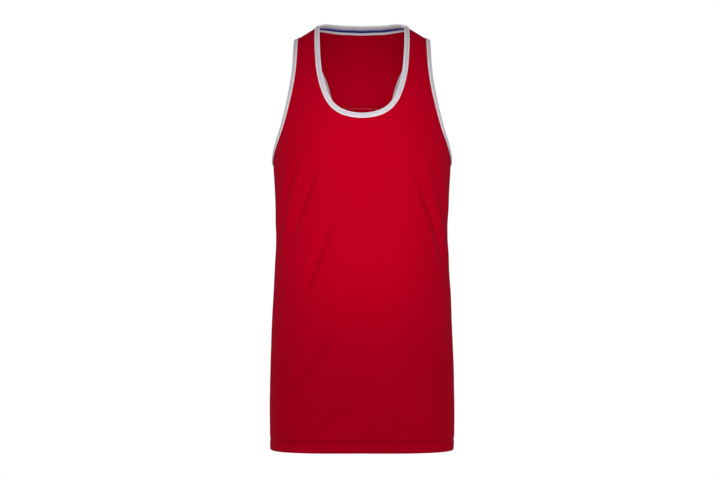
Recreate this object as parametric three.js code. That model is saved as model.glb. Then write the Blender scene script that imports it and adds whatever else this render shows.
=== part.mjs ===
// A racerback boxing vest, hollow and filled out as it is worn, with no wearer in it.
// Millimetres, +Z up. The front faces -Y, and +X is the wearer's left.
// The origin is the middle of the shoulder line, where the wearer's shoulders hold the vest up.
// Until the whole vest is moved to its origin, heights are counted from the hem.
import * as THREE from "three";

// Driving dimensions.
const CLOTH = 1; // wall of the knitted body cloth
const TAPE_PLY = 0.7; // one ply of binding or tape
const SEAM_GAP = 0.3; // between two panels that are sewn edge to edge
const PLY_GAP = 0.6; // between plies that lie on each other
const HEM_DEPTH = 23; // the hem is turned up inside by this much
const BINDING_WIDTH = 8.5; // the binding's reach on each face of the cloth
const BOUND_EDGE = 10; // width of the panels' first column along a bound edge
const NECK_TAPE_WIDTH = 11;
const CHEST_HEIGHT = 560;
const OVER_CHEST = 320; // length of the cloth from the chest up and over to the shoulder line
const NECK_PEAK = 835; // where the two shoulder slopes would meet at the middle
const STRAP_MIDDLE = 107; // from the middle plane to the middle of a shoulder strap
const SHOULDER = { slope: 0.63, round: 30, startsAt: 500 };

// Length up the cloth from the hem to the shoulder line. Over the chest it follows a quarter of an oval.
const RUN_END = CHEST_HEIGHT + OVER_CHEST;
const MM_PER_DEGREE = 2.6; // length round the body for each degree of turn

// Size of the grids: a half panel's columns between its two edge columns, and the rows in each stretch.
const INNER_COLUMNS = 11;
const ROWS = { body: 13, upperBack: 16, frontNeck: 18, backNeck: 7 };
const FIRST_ROW = 4; // height of the first row above the hem's fold
const BACK_NECK_FOOT = 566; // run up the middle of the back where its upper rows start

// The hollow form: half widths, depths in front of and behind the side seams, and how square its corners are.
const FORM = [
  { height: 0, halfWidth: 175, front: 107, back: 110, corner: 2.9 },
  { height: 130, halfWidth: 174.5, front: 108, back: 114, corner: 2.7 },
  { height: 260, halfWidth: 170, front: 108, back: 106, corner: 2.5 },
  { height: 400, halfWidth: 163.5, front: 109, back: 98, corner: 2.4 },
  { height: 480, halfWidth: 165.5, front: 114, back: 105, corner: 2.4 },
  { height: 560, halfWidth: 169.5, front: 119, back: 117, corner: 2.4 },
  { height: 640, halfWidth: 170, front: 119, back: 120, corner: 2.4 },
  { height: NECK_PEAK, halfWidth: 170, front: 119, back: 120, corner: 2.4 },
];

// Edge of the cloth at the neck, from the middle to the shoulder line.
const NECK_FRONT = [
  { x: 0, height: 627 },
  { x: 28, height: 631 },
  { x: 47, height: 641 },
  { x: 60, height: 657 },
  { x: 69, height: 679 },
  { x: 76, height: 708 },
  { x: 80, height: 750 },
  { x: 82, height: Infinity },
];
const NECK_BACK = [
  { x: 0, height: 803.6 },
  { x: 30, height: 803.7 },
  { x: 58, height: 804 },
  { x: 82, height: Infinity },
];

// Edge of the cloth at the armhole, from the shoulder line down to the underarm at the side seam.
const ARMHOLE_FRONT = [
  { x: 128, height: Infinity },
  { x: 129, height: 738 },
  { x: 131, height: 706 },
  { x: 137, height: 668 },
  { x: 146, height: 628 },
  { x: 157, height: 590 },
];
const UNDERARM = { turn: 90, run: 549 };
const ARMHOLE_BACK = [
  { x: 154, height: 555 },
  { x: 123, height: 567 },
  { x: 95, height: 586 },
  { x: 75, height: 611 },
  { x: 66, height: 643 },
  { x: 71, height: 680 },
  { x: 85, height: 716 },
  { x: 107, height: 750 },
  { x: 128, height: Infinity },
];

// Largest folds, as soft troughs. Each runs from its first place to its second and is deepest at its middle.
const FOLDS = [
  { side: "front", x: -80, height: 535, toX: -136, toHeight: 370, depth: 3.4, reach: 20 },
  { side: "front", x: -50, height: 445, toX: -104, toHeight: 290, depth: 2.6, reach: 20 },
  { side: "front", x: -50, height: 225, toX: -132, toHeight: 135, depth: 3, reach: 22 },
  { side: "front", x: 112, height: 450, toX: 152, toHeight: 315, depth: 3.8, reach: 18 },
  { side: "front", x: 90, height: 250, toX: 128, toHeight: 120, depth: 2.2, reach: 24 },
  { side: "back", x: 40, height: 520, toX: 112, toHeight: 395, depth: 3, reach: 22 },
  { side: "back", x: -46, height: 500, toX: -128, toHeight: 350, depth: 3.4, reach: 22 },
  { side: "back", x: 66, height: 300, toX: 130, toHeight: 180, depth: 2.8, reach: 24 },
];

// Patch sewn to the inside of the back.
const PATCH = { left: -40, right: 30, bottom: 606, top: 650, columns: 6, rows: 4 };

// Shares of a fold's length over which it grows at its start and fades at its end, and the turns
// between which all folds fade out before the side seam.
const FOLD_ENDS = { growFrom: -0.15, growTo: 0.4, fadeFrom: 0.6, fadeTo: 1.15 };
const FOLD_SIDES = { fadeFrom: 62, fadeTo: 86 };

const SLOPE_STEP = { turn: 0.4, run: 1 }; // half the span over which the form's directions are measured
const HALVINGS = 40; // of an interval, when a run is searched for
const CURVE_PARTS = 400; // chords that stand for an edge's smooth curve
const ROUNDING = 1e-6;
const Y_SIGN = { front: -1, back: 1 };
const OTHER = { front: "back", back: "front" };
const { clamp, degToRad, lerp, radToDeg, smoothstep } = THREE.MathUtils;

// Value of one column of a table at a height, smooth from row to row.
function tableValue(rows, name, height) {
  const above = rows.findIndex((row) => row.height > height);
  const next = above < 0 ? rows.length - 1 : Math.max(above, 1);
  const [before, low, high, after] = [-2, -1, 0, 1].map(
    (step) => rows[clamp(next + step, 0, rows.length - 1)],
  );
  const span = high.height - low.height;
  const slope = (a, b) => (span * (b[name] - a[name])) / (b.height - a.height);
  const t = clamp((height - low.height) / span, 0, 1);
  const [startSlope, endSlope] = [slope(before, high), slope(low, after)];
  const rise = high[name] - low[name];
  return (
    low[name] +
    t * startSlope +
    t * t * (3 * rise - 2 * startSlope - endSlope) +
    t * t * t * (startSlope + endSlope - 2 * rise)
  );
}

// How far the shoulder line at this distance from the middle lies below its peak.
function shoulderDrop(x) {
  return SHOULDER.slope * (Math.hypot(x, SHOULDER.round) - SHOULDER.round);
}

// How far a run has turned in over the chest: 0 up to the chest, a quarter turn at the shoulder line.
function overChest(run) {
  return (Math.PI / 2) * Math.max(0, (run - CHEST_HEIGHT) / (RUN_END - CHEST_HEIGHT));
}

function levelOf(run) {
  return run < CHEST_HEIGHT
    ? run
    : CHEST_HEIGHT + (NECK_PEAK - CHEST_HEIGHT) * Math.sin(overChest(run));
}

// A point of the smooth form at +X. turn is 0 at the middle of the side and 90 degrees at the side seam.
// Past a seam, the form goes on over the other side.
function formPoint({ side, turn, run }) {
  if (run > RUN_END + ROUNDING) {
    return formPoint({ side: OTHER[side], turn, run: 2 * RUN_END - run });
  }
  if (turn > 90 + ROUNDING) return formPoint({ side: OTHER[side], turn: 180 - turn, run });
  const level = levelOf(run);
  const sine = Math.sin(degToRad(turn));
  const corner = tableValue(FORM, "corner", level);
  const section = Math.max(0, 1 - Math.abs(sine) ** corner) ** (1 / corner);
  const depth = tableValue(FORM, side, level) * Math.cos(overChest(run)) * section;
  const x = tableValue(FORM, "halfWidth", level) * sine;
  const sloped = smoothstep(level, SHOULDER.startsAt, NECK_PEAK);
  return new THREE.Vector3(
    x,
    Y_SIGN[side] * (depth + SEAM_GAP / 2),
    level - shoulderDrop(x) * sloped,
  );
}

// Directions at a spot: round the body, up the cloth, and out of it.
function directions({ side, turn, run }) {
  const difference = (a, b, step) => formPoint(b).sub(formPoint(a)).divideScalar(2 * step);
  const round = difference(
    { side, turn: turn - SLOPE_STEP.turn, run },
    { side, turn: turn + SLOPE_STEP.turn, run },
    SLOPE_STEP.turn,
  );
  const up = difference(
    { side, turn, run: run - SLOPE_STEP.run },
    { side, turn, run: run + SLOPE_STEP.run },
    SLOPE_STEP.run,
  );
  const out = round.clone().cross(up).multiplyScalar(-Y_SIGN[side]).normalize();
  return { round, up, out };
}

// Depth of the folds at a place on one side. They fade out towards the side seams.
function foldDepth(side, x, height, turn) {
  let depth = 0;
  for (const fold of FOLDS.filter((row) => row.side === side)) {
    const [acrossX, acrossZ] = [fold.toX - fold.x, fold.toHeight - fold.height];
    const length = Math.hypot(acrossX, acrossZ);
    const along = ((x - fold.x) * acrossX + (height - fold.height) * acrossZ) / length ** 2;
    const beside = ((x - fold.x) * acrossZ - (height - fold.height) * acrossX) / length;
    const grown = smoothstep(along, FOLD_ENDS.growFrom, FOLD_ENDS.growTo);
    const faded = smoothstep(along, FOLD_ENDS.fadeFrom, FOLD_ENDS.fadeTo);
    depth += fold.depth * grown * (1 - faded) * Math.exp(-((beside / fold.reach) ** 2));
  }
  return depth * (1 - smoothstep(Math.abs(turn), FOLD_SIDES.fadeFrom, FOLD_SIDES.fadeTo));
}

// A point of the cloth, this far below its outer face. hand is 1 at +X and -1 at -X.
function clothPoint(spot, below, hand) {
  const point = formPoint(spot);
  const { out } = directions(spot);
  const fold = foldDepth(spot.side, hand * point.x, point.z, spot.turn);
  point.addScaledVector(out, -below - fold);
  point.x *= hand;
  return point;
}

// The spot on a side that lies at this distance from the middle and at this height.
function spotAt(side, { x, height }) {
  const spot = { side, turn: 0, run: RUN_END };
  const turnTo = () => {
    const halfWidth = tableValue(FORM, "halfWidth", levelOf(spot.run));
    spot.turn = radToDeg(Math.asin(x / halfWidth));
  };
  turnTo();
  if (height >= formPoint(spot).z) return spot;
  let [low, high] = [0, RUN_END];
  for (let step = 0; step < HALVINGS; step++) {
    spot.run = (low + high) / 2;
    turnTo();
    if (formPoint(spot).z < height) low = spot.run;
    else high = spot.run;
  }
  return spot;
}

// Evenly spaced spots along a smooth edge through the given ones, from the first index to the last.
function edgeSpots(through, first, last, steps, side) {
  const curve = new THREE.CatmullRomCurve3(
    through.map(({ turn, run }) => new THREE.Vector3(turn * MM_PER_DEGREE, run, 0)),
    false,
    "centripetal",
  );
  const [from, to] = [first, last].map((index) => index / (through.length - 1));
  const dense = Array.from({ length: CURVE_PARTS + 1 }, (_, i) =>
    curve.getPoint(lerp(from, to, i / CURVE_PARTS)),
  );
  const lengths = [0];
  for (let i = 1; i < dense.length; i++) {
    lengths.push(lengths[i - 1] + dense[i].distanceTo(dense[i - 1]));
  }
  return Array.from({ length: steps + 1 }, (_, k) => {
    const wanted = (lengths.at(-1) * k) / steps;
    const i = Math.max(1, lengths.findIndex((length) => length >= wanted - ROUNDING));
    const t = (wanted - lengths[i - 1]) / (lengths[i] - lengths[i - 1]);
    const place = dense[i - 1].clone().lerp(dense[i], clamp(t, 0, 1));
    return { side, turn: place.x / MM_PER_DEGREE, run: place.y };
  });
}

const onSide = (side, rows) => rows.map((row) => spotAt(side, row));
const mirrored = ({ turn, ...rest }) => ({ ...rest, turn: -turn });
const acrossSeam = ({ side, turn, run }) => ({ side: OTHER[side], turn: 180 - turn, run });

// The neck curve of one side, from the middle to the shoulder line. It leaves the middle level.
function neckSpots(side, rows, steps) {
  const spots = onSide(side, rows);
  return edgeSpots([mirrored(spots[1]), ...spots], 1, spots.length, steps, side);
}

// The whole armhole is one curve, so that it passes the side seam without a corner.
const armholeThrough = [
  ...onSide("front", ARMHOLE_FRONT),
  { side: "front", ...UNDERARM },
  ...onSide("back", ARMHOLE_BACK).map(acrossSeam),
];
const seamIndex = ARMHOLE_FRONT.length;
const armholeFront = edgeSpots(armholeThrough, 0, seamIndex, ROWS.frontNeck, "front").reverse();
const armholeBack = edgeSpots(
  armholeThrough,
  seamIndex,
  armholeThrough.length - 1,
  ROWS.upperBack + ROWS.backNeck,
  "front",
).map(acrossSeam);
const neckFront = neckSpots("front", NECK_FRONT, ROWS.frontNeck);
const neckBack = neckSpots("back", NECK_BACK, ROWS.backNeck);

// Spots along an edge, each with the step in turn and run that leads 1 mm into the cloth.
function stationsAlong(spots, closed) {
  const points = spots.map(({ hand = 1, ...spot }) => {
    const point = formPoint(spot);
    point.x *= hand;
    return point;
  });
  const last = spots.length - 1;
  return spots.map(({ hand = 1, ...spot }, i) => {
    const before = points[closed ? (i + last) % spots.length : Math.max(i - 1, 0)];
    const after = points[closed ? (i + 1) % spots.length : Math.min(i + 1, last)];
    const along = after.clone().sub(before).normalize();
    const { round, up, out } = directions(spot);
    for (const vector of [round, up, out]) vector.x *= hand;
    const into = along.cross(out).normalize();
    const [a, b, c] = [round.dot(round), round.dot(up), up.dot(up)];
    const [p, q] = [into.dot(round), into.dot(up)];
    const size = a * c - b * b;
    return { hand, spot, turnStep: (p * c - q * b) / size, runStep: (q * a - p * b) / size };
  });
}

// The spot this far into the cloth from a station.
const intoCloth = ({ spot, turnStep, runStep }, into) => ({
  side: spot.side,
  turn: spot.turn + into * turnStep,
  run: spot.run + into * runStep,
});

const withHand = (hand, spots) => spots.map((spot) => ({ ...spot, hand }));

// Round the neck: up the front's right half, down the back's right half, and back along the left halves.
const neckRing = stationsAlong(
  [
    ...withHand(1, neckFront),
    ...withHand(1, neckBack.toReversed()).slice(1),
    ...withHand(-1, neckBack).slice(1),
    ...withHand(-1, neckFront.toReversed()).slice(1, -1),
  ],
  true,
);

// Round the armhole at +X: down its front edge and up its back edge.
const armholeRing = stationsAlong([...armholeFront.toReversed(), ...armholeBack.slice(1, -1)], true);

// Where the rings at +X pass a seam.
const NECK_SHOULDER = neckFront.length - 1;
const RING_UNDERARM = armholeFront.length - 1;

// A row of a bound edge: the edge, and a spot one column in from it. On a seam, both stay on the seam.
function boundRow(side, station) {
  const { turn, run } = station.spot;
  const inset = { ...intoCloth(station, BOUND_EDGE), side };
  if (turn > 90 - ROUNDING) inset.turn = 90;
  if (run > RUN_END - ROUNDING) inset.run = RUN_END;
  return { edge: { side, turn, run }, inset };
}

// The stretches of the rings that each half panel's edges follow, from the middle or the side seam up to
// the shoulder line.
const boundRows = (side, stations) => stations.map((station) => boundRow(side, station));
const neckRows = {
  front: boundRows("front", neckRing.slice(0, NECK_SHOULDER + 1)),
  back: boundRows("back", neckRing.slice(NECK_SHOULDER, NECK_SHOULDER + neckBack.length)).reverse(),
};
const armholeRows = {
  front: boundRows("front", armholeRing.slice(0, RING_UNDERARM + 1)).reverse(),
  back: boundRows("back", [...armholeRing.slice(RING_UNDERARM), armholeRing[0]]),
};

// Rows of an edge with no binding, up a straight line: the edge is its own inset.
function plainRows(side, from, to, steps) {
  return Array.from({ length: steps }, (_, k) => {
    const spot = {
      side,
      turn: lerp(from.turn, to.turn, k / steps),
      run: lerp(from.run, to.run, k / steps),
    };
    return { edge: spot, inset: spot };
  });
}

// The middle line of each side, in stretches: how far up each goes, if not to the neck, and its rows.
const FRONT_MIDDLE = [{ steps: ROWS.body }];
const BACK_MIDDLE = [{ run: BACK_NECK_FOOT, steps: ROWS.body }, { steps: ROWS.upperBack }];

// Inner and outer edge of a half panel, row by row from just above the hem's fold to the shoulder line.
// Rows of the two edges at the same place in their lists are joined across the panel.
function panelRows(side, middleStretches) {
  const seamFoot = { turn: 90, run: FIRST_ROW };
  const middle = [];
  let from = { turn: 0, run: FIRST_ROW };
  for (const { run = neckRows[side][0].inset.run, steps } of middleStretches) {
    const to = { turn: 0, run };
    middle.push(...plainRows(side, from, to, steps));
    from = to;
  }
  const seam = plainRows(side, seamFoot, armholeRows[side][0].inset, ROWS.body);
  return { inner: [...middle, ...neckRows[side]], outer: [...seam, ...armholeRows[side]] };
}

// A closed solid from a sheet of quads with two faces: each vertex has an outer and an inner point, and
// every open edge of the sheet gets a wall.
function closedSheet(outer, inner, quads) {
  const count = outer.length;
  const triangles = [];
  const openEdges = new Map();
  for (const quad of quads) {
    const [a, b, c, d] = quad;
    triangles.push([a, b, c], [a, c, d]);
    triangles.push([a, c, b].map((i) => i + count), [a, d, c].map((i) => i + count));
    quad.forEach((start, k) => {
      const end = quad[(k + 1) % 4];
      if (!openEdges.delete(end + "-" + start)) openEdges.set(start + "-" + end, [start, end]);
    });
  }
  for (const [start, end] of openEdges.values()) {
    triangles.push([end, start, start + count], [end, start + count, end + count]);
  }
  const geometry = new THREE.BufferGeometry().setFromPoints([...outer, ...inner]);
  geometry.setIndex(triangles.flat());
  geometry.computeVertexNormals();
  return geometry;
}

// The hem's fold, from the raw edge inside up to the first row. The two faces of the cloth turn over
// together: for each row of the fold, the height and the depth below the panel's outer face.
const TURNED_PLY = { near: CLOTH + PLY_GAP, far: 2 * CLOTH + PLY_GAP };
const HEM_FOLD = [
  { inner: [HEM_DEPTH, TURNED_PLY.near], outer: [HEM_DEPTH, TURNED_PLY.far] },
  { inner: [FIRST_ROW, TURNED_PLY.near], outer: [FIRST_ROW, TURNED_PLY.far] },
  { inner: [CLOTH, CLOTH + PLY_GAP / 2], outer: [0, CLOTH + PLY_GAP / 2] },
];

// The spots of one row of a half panel, from its inner to its outer edge.
function rowSpots(inner, outer) {
  const between = Array.from({ length: INNER_COLUMNS + 1 }, (_, k) => ({
    side: inner.edge.side,
    turn: lerp(inner.inset.turn, outer.inset.turn, k / INNER_COLUMNS),
    run: lerp(inner.inset.run, outer.inset.run, k / INNER_COLUMNS),
  }));
  return [inner.edge, ...between, outer.edge];
}

// A panel: two half grids that share the points on the middle. Where an edge has no binding, its edge
// column has no width.
function panelGeometry({ inner, outer }) {
  const { side } = inner[0].edge;
  const outerPoints = [];
  const innerPoints = [];
  const quads = [];
  const middles = new Map();
  const rows = [
    ...HEM_FOLD.map((fold) => ({ ...fold, index: 0 })),
    ...inner.map((_, index) => ({ index })),
  ];
  const pointIndex = (row, rowIndex, spot, column, hand) => {
    const key = rowIndex + "-" + column;
    const onMiddle = Math.abs(spot.turn) < ROUNDING;
    if (onMiddle && middles.has(key)) return middles.get(key);
    const [outerRun, outerBelow] = row.outer ?? [spot.run, 0];
    const [innerRun, innerBelow] = row.inner ?? [spot.run, CLOTH];
    outerPoints.push(clothPoint({ ...spot, side, run: outerRun }, outerBelow, hand));
    innerPoints.push(clothPoint({ ...spot, side, run: innerRun }, innerBelow, hand));
    if (onMiddle) middles.set(key, outerPoints.length - 1);
    return outerPoints.length - 1;
  };
  for (const hand of [1, -1]) {
    const grid = rows.map((row, rowIndex) => {
      const [innerRow, outerRow] = [inner[row.index], outer[row.index]];
      const spots = rowSpots(innerRow, outerRow);
      const indices = spots.map((spot, column) => {
        const insetOfPlainEdge =
          (column === 0 && innerRow.edge === innerRow.inset) ||
          (column === spots.length - 1 && outerRow.edge === outerRow.inset);
        return insetOfPlainEdge ? -1 : pointIndex(row, rowIndex, spot, column, hand);
      });
      if (indices[0] < 0) indices[0] = indices[1];
      if (indices.at(-1) < 0) indices[spots.length - 1] = indices.at(-2);
      return indices;
    });
    const facesOut = hand * -Y_SIGN[side] > 0;
    for (let r = 0; r + 1 < grid.length; r++) {
      for (let c = 0; c + 1 < grid[r].length; c++) {
        const [a, b] = [grid[r][c], grid[r][c + 1]];
        const [d, e] = [grid[r + 1][c], grid[r + 1][c + 1]];
        if (a !== b) quads.push(facesOut ? [a, b, e, d] : [a, d, e, b]);
      }
    }
  }
  return closedSheet(outerPoints, innerPoints, quads);
}

// A strip swept along stations. Its section is a closed list of [distance into the cloth, depth below the
// panel's outer face], and its length is a ring or has two ends.
function sweptStrip(stations, section, closed, hand = 1) {
  const points = stations.flatMap((station) =>
    section.map(([into, below]) =>
      clothPoint(intoCloth(station, into), below, hand * station.hand),
    ),
  );
  const sides = section.length;
  const triangles = [];
  const rings = stations.length;
  for (let ring = 0; ring < (closed ? rings : rings - 1); ring++) {
    const nextRing = (ring + 1) % rings;
    for (let k = 0; k < sides; k++) {
      const [a, b] = [ring * sides + k, ring * sides + ((k + 1) % sides)];
      const [c, d] = [nextRing * sides + ((k + 1) % sides), nextRing * sides + k];
      triangles.push(...(hand > 0 ? [[a, c, b], [a, d, c]] : [[a, b, c], [a, c, d]]));
    }
  }
  if (!closed) {
    const end = (rings - 1) * sides;
    for (let k = 1; k + 1 < sides; k++) {
      triangles.push([0, k, k + 1], [end, end + k + 1, end + k]);
    }
  }
  const geometry = new THREE.BufferGeometry().setFromPoints(points);
  geometry.setIndex(triangles.flat());
  geometry.computeVertexNormals();
  return geometry;
}

// Section of a binding folded over the cloth's edge: a reach on each face and the fold beyond the edge.
const BINDING_SECTION = [
  [BINDING_WIDTH, -PLY_GAP],
  [BINDING_WIDTH, -PLY_GAP - TAPE_PLY],
  [-PLY_GAP - TAPE_PLY, -PLY_GAP - TAPE_PLY],
  [-PLY_GAP - TAPE_PLY, CLOTH + PLY_GAP + TAPE_PLY],
  [BINDING_WIDTH, CLOTH + PLY_GAP + TAPE_PLY],
  [BINDING_WIDTH, CLOTH + PLY_GAP],
  [-PLY_GAP, CLOTH + PLY_GAP],
  [-PLY_GAP, -PLY_GAP],
];

// The tape inside the back neck, just below the binding, from one shoulder seam to the other.
function neckTapeGeometry() {
  const top = BINDING_WIDTH + SEAM_GAP;
  const under = CLOTH + PLY_GAP + SEAM_GAP;
  const across = [0, 0.5, 1].map((share) => top + share * NECK_TAPE_WIDTH);
  const section = [
    ...across.map((into) => [into, under + TAPE_PLY]),
    ...across.toReversed().map((into) => [into, under]),
  ];
  const backNeck = neckRing.slice(NECK_SHOULDER, NECK_SHOULDER + 2 * neckBack.length - 1);
  return sweptStrip(backNeck, section, false);
}

// The patch inside the back, on the panel's inner face.
function patchGeometry() {
  const under = CLOTH + PLY_GAP;
  const outer = [];
  const inner = [];
  const quads = [];
  for (let row = 0; row <= PATCH.rows; row++) {
    for (let column = 0; column <= PATCH.columns; column++) {
      const x = lerp(PATCH.left, PATCH.right, column / PATCH.columns);
      const height = lerp(PATCH.bottom, PATCH.top, row / PATCH.rows);
      const spot = spotAt("back", { x: Math.abs(x), height });
      const hand = x < 0 ? -1 : 1;
      outer.push(clothPoint(spot, under, hand));
      inner.push(clothPoint(spot, under + TAPE_PLY, hand));
      if (row === PATCH.rows || column === PATCH.columns) continue;
      const corner = row * (PATCH.columns + 1) + column;
      const above = corner + PATCH.columns + 1;
      quads.push([corner, above, above + 1, corner + 1]);
    }
  }
  return closedSheet(outer, inner, quads);
}

const COLOURS = { red: 0xb80024, white: 0xe8e4ea };

function piece(name, geometry, colour) {
  const material = new THREE.MeshStandardMaterial({ color: colour, roughness: 0.85, metalness: 0 });
  const mesh = new THREE.Mesh(geometry, material);
  mesh.name = name;
  return mesh;
}

const garment = new THREE.Group();
garment.add(
  piece("front_panel", panelGeometry(panelRows("front", FRONT_MIDDLE)), COLOURS.red),
  piece("back_panel", panelGeometry(panelRows("back", BACK_MIDDLE)), COLOURS.red),
  piece("neck_binding", sweptStrip(neckRing, BINDING_SECTION, true), COLOURS.white),
  piece("left_armhole_binding", sweptStrip(armholeRing, BINDING_SECTION, true), COLOURS.white),
  piece("right_armhole_binding", sweptStrip(armholeRing, BINDING_SECTION, true, -1), COLOURS.white),
  piece("neck_tape", neckTapeGeometry(), COLOURS.white),
  piece("back_patch", patchGeometry(), COLOURS.red),
);
garment.position.z = CLOTH + shoulderDrop(STRAP_MIDDLE) - NECK_PEAK;

const vest = new THREE.Group();
vest.add(garment);

export default vest;
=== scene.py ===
# %% [markdown]
# # A boxing vest, filled out as it is worn
# A competition boxing vest is two panels of slippery polyester knit, a front and a racerback,
# joined at the shoulders and sides. A white knit binding is folded over the neck and over each
# armhole, a striped woven tape covers the inside of the back neck, and the hem is turned up and
# stitched. The frame already holds each piece as a plain solid at its true size and place. This
# script makes the cloth that is seen: it takes each piece's form from the frame, smooths it,
# creases it, and gives it a thread-by-thread finish. Everything is in metres, with the front
# facing -Y.

import math

import bmesh
import bpy
import numpy as np
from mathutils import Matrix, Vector, noise
from mathutils.bvhtree import BVHTree


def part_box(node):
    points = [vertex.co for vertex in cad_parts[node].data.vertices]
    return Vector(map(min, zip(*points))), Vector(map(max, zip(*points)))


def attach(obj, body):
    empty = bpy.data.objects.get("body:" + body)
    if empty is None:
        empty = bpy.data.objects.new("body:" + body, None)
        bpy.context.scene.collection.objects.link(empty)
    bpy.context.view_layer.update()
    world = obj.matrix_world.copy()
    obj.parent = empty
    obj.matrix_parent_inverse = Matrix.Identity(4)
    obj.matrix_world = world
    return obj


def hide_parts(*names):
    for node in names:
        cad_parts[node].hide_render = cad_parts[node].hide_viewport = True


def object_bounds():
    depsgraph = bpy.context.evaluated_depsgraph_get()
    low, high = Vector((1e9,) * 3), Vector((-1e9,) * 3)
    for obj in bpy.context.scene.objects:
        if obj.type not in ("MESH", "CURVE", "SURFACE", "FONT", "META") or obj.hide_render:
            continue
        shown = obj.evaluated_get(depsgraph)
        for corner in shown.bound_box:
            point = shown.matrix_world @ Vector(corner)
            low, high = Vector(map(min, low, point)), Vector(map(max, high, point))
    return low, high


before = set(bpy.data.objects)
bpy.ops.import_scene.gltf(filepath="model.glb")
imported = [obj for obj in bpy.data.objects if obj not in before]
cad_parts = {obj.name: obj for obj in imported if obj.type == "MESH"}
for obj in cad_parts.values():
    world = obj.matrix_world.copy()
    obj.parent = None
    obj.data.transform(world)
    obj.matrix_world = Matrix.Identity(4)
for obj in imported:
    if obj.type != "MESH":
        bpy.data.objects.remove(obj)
cad_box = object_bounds()
MM = 0.001
HEM = cad_box[0].z  # height of the hem's fold
print("frame, in mm:", [[round(x / MM) for x in corner] for corner in cad_box])

# %% [markdown]
# ## The camera
# A long lens from four metres away flattens the vest, as a shop would show it. It looks
# straight along +Y at the middle of the vest. It is made first, so that every later step can be
# looked at.

# %% Camera
CAMERA_PLACE = (-0.0038, -4.0, -0.3876)
CAMERA_LENS = 105.4  # millimetres, on a sensor 36 mm wide

camera = bpy.data.objects.new("camera", bpy.data.cameras.new("camera"))
bpy.context.scene.collection.objects.link(camera)
camera.location = CAMERA_PLACE
camera.rotation_euler = (math.radians(90), 0, 0)
camera.data.lens = CAMERA_LENS
bpy.context.scene.camera = camera
print("camera", tuple(camera.location), "lens", camera.data.lens)

# %% [markdown]
# ## Small tools for meshes
# An operator works on what is selected, and loading leaves every solid selected, so one helper
# selects a single object first. Two more read and write all the points of a mesh as an array,
# which is the quick way to move tens of thousands of them by a formula.


# %% Mesh helpers
def activate(obj):
    """Makes obj the only selected object."""
    bpy.ops.object.select_all(action="DESELECT")
    obj.select_set(True)
    bpy.context.view_layer.objects.active = obj


def new_object(name, mesh):
    obj = bpy.data.objects.new(name, mesh)
    bpy.context.scene.collection.objects.link(obj)
    return obj


def points_of(mesh):
    points = np.empty(len(mesh.vertices) * 3, np.float32)
    mesh.vertices.foreach_get("co", points)
    return points.reshape(-1, 3).astype(float)


def normals_of(mesh):
    normals = np.empty(len(mesh.vertices) * 3, np.float32)
    mesh.vertices.foreach_get("normal", normals)
    return normals.reshape(-1, 3).astype(float)


def move_points(mesh, points):
    mesh.vertices.foreach_set("co", points.astype(np.float32).ravel())
    mesh.update()


def unit(vectors):
    return vectors / np.linalg.norm(vectors, axis=-1, keepdims=True)


def smoothstep(value, low, high):
    share = np.clip((value - low) / (high - low), 0, 1)
    return share * share * (3 - 2 * share)


# %% [markdown]
# ## Taking a sheet of quads from a solid
# Each cloth solid in the frame is two faces, 1 mm apart, joined by a thin wall round the edge.
# Only the outer face is wanted here, because Solidify gives it a finer thickness at the end.
# The solid is all triangles, and a subdivision surface needs quads: one diagonal is known, and
# from it every other follows, because all quads of a grid were cut the same way.

# %% Quads from triangles
MERGE = 0.02 * MM


def join_quads(bm, faces):
    """Joins a grid's triangles into the quads that they were cut from, starting at its middle."""
    centres = {face: face.calc_center_median() for face in faces}
    middle = [
        (min(c[k] for c in centres.values()) + max(c[k] for c in centres.values())) / 2
        for k in (0, 2)
    ]
    start = min(centres, key=lambda f: math.dist(middle, (centres[f].x, centres[f].z)))
    diagonals = {start: max(start.edges, key=lambda edge: edge.calc_length())}
    waiting = [start]
    while waiting:
        face = waiting.pop()
        diagonal = diagonals[face]
        for edge in face.edges:
            for other in edge.link_faces:
                if other in diagonals or other not in centres:
                    continue
                if edge is diagonal:
                    diagonals[other] = diagonal
                else:
                    # the next diagonal leaves from the end that this one doesn't touch
                    foot = next(v for v in edge.verts if v not in diagonal.verts)
                    diagonals[other] = next(
                        e for e in other.edges if e is not edge and foot in e.verts
                    )
                waiting.append(other)
    # a set would come out in another order each run
    edges = list(dict.fromkeys(diagonals.values()))
    bmesh.ops.dissolve_edges(bm, edges=edges, use_verts=False)


def grids(bm):
    """The faces of each grid. A symmetric piece was made as one half and its mirror image."""
    across = [[vert.co.x for vert in face.verts] for face in bm.faces]
    if any(min(x) < -MERGE and max(x) > MERGE for x in across):
        return [list(bm.faces)]
    return [[f for f in bm.faces if hand * f.calc_center_median().x > 0] for hand in (1, -1)]


# %% [markdown]
# The walls are found by their short edges and deleted, which leaves the two faces apart. A score
# picks the wanted one. A panel's outer face is the one that reaches lowest, because it is folded
# round the hem, and the patch's seen face is the one that lies furthest forward.

# %% Sheet from a solid
LONGEST_WALL_EDGE = 1.2 * MM


def island_of(start):
    """All vertices joined to this one by edges."""
    found, waiting = {start}, [start]
    while waiting:
        for edge in waiting.pop().link_edges:
            for vert in edge.verts:
                if vert not in found:
                    found.add(vert)
                    waiting.append(vert)
    return found


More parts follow.
